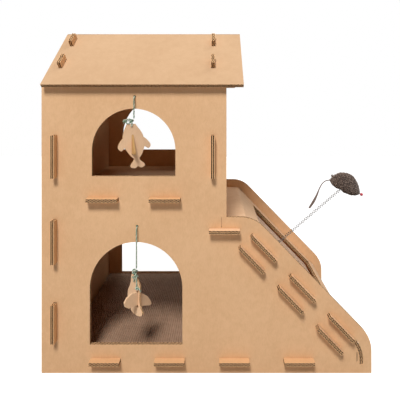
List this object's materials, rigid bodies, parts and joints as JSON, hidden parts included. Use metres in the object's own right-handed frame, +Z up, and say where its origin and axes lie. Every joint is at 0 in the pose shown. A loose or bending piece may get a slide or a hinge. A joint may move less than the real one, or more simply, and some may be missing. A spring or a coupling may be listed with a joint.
{
  "type": "cardboard cat house",
  "caption": "Free-standing slotted-board cat house: roofed tower with two rooms and arched doors, scratch ramp, fish toys on cords and a toy mouse on a spring.",
  "frame": {"origin": "on the ground, below the middle of the whole object's box", "axes": "+Z up, +X along the front from the tower to the ramp's foot, +Y from the front to the back"},
  "size_m": [0.6786, 0.3876, 0.665],
  "materials": {
    "kraft_board": "matt kraft liner",
    "roof_board": "matt kraft liner, paler",
    "scratch_board": "open corrugated edges",
    "mat_board": "ribbed, dark brown",
    "toy_card": "matt",
    "cord": "twisted two-colour cord",
    "plug_wood": "bare",
    "spring_wire": "bright drawn wire",
    "mouse_fur": "short pile",
    "nose_bead": "gloss",
    "tail_felt": "felt"
  },
  "bodies": {
    "house": {"front_panel": "kraft_board", "back_panel": "kraft_board", "left_wall": "kraft_board", "tower_right_wall": "kraft_board", "lower_floor": "kraft_board", "floor_scratch_mat": "mat_board", "upper_floor": "kraft_board", "ramp_board": "kraft_board", "ramp_support_board": "kraft_board", "scratch_pad": "scratch_board", "roof_sheet": "roof_board", "spring_plug": "plug_wood", "upper_cord_stop": "cord", "lower_cord_stop": "cord"},
    "upper_link": {"upper_cord_link": "cord"},
    "upper_hanging_cord": {"upper_cord": "cord"},
    "upper_fish": {"upper_fish_knot": "cord", "upper_fish_body": "toy_card", "upper_fish_fin": "toy_card"},
    "lower_link": {"lower_cord_link": "cord"},
    "lower_hanging_cord": {"lower_cord": "cord"},
    "lower_fish": {"lower_fish_knot": "cord", "lower_fish_body": "toy_card", "lower_fish_fin": "toy_card"},
    "spring": {"mouse_spring": "spring_wire"},
    "mouse": {"mouse_body": "mouse_fur", "mouse_nose": "nose_bead"},
    "tail": {"mouse_tail": "tail_felt"}
  },
  "joints": [
    {"name": "upper_toy_swing_forward", "type": "hinge", "parent": "house", "child": "upper_link", "pos_m": [-0.16234, -0.16223, 0.5194], "axis": [-1, 0, 0], "range_deg": [-10, 60]},
    {"name": "upper_toy_swing_sideways", "type": "hinge", "parent": "upper_link", "child": "upper_hanging_cord", "pos_m": [-0.16234, -0.16223, 0.5144], "axis": [0, 1, 0], "range_deg": [-28, 28]},
    {"name": "upper_toy_spin", "type": "hinge", "parent": "upper_hanging_cord", "child": "upper_fish", "pos_m": [-0.16234, -0.16223, 0.4804], "axis": [0, 0, 1], "range_deg": [-180, 180]},
    {"name": "lower_toy_swing_forward", "type": "hinge", "parent": "house", "child": "lower_link", "pos_m": [-0.15759, -0.16223, 0.273], "axis": [-1, 0, 0], "range_deg": [-10, 60]},
    {"name": "lower_toy_swing_sideways", "type": "hinge", "parent": "lower_link", "child": "lower_hanging_cord", "pos_m": [-0.15759, -0.16223, 0.268], "axis": [0, 1, 0], "range_deg": [-21, 21]},
    {"name": "lower_toy_spin", "type": "hinge", "parent": "lower_hanging_cord", "child": "lower_fish", "pos_m": [-0.15759, -0.16223, 0.234], "axis": [0, 0, 1], "range_deg": [-180, 180]},
    {"name": "spring_sway", "type": "hinge", "parent": "house", "child": "spring", "pos_m": [0.1322, 0.01227, 0.17665], "axis": [0, 1, 0], "range_deg": [-25, 25], "stiffness_Nm_per_rad": 0.6, "springref_deg": -3.32},
    {"name": "mouse_nod", "type": "hinge", "parent": "spring", "child": "mouse", "pos_m": [0.28793, 0.01227, 0.30919], "axis": [0, 1, 0], "range_deg": [-25, 25], "stiffness_Nm_per_rad": 0.06, "springref_deg": -2.01},
    {"name": "tail_swing", "type": "hinge", "parent": "mouse", "child": "tail", "pos_m": [0.26279, 0.00727, 0.33066], "axis": [0, 1, 0], "range_deg": [-15, 30], "stiffness_Nm_per_rad": 0.0006, "springref_deg": 3.44}
  ]
}
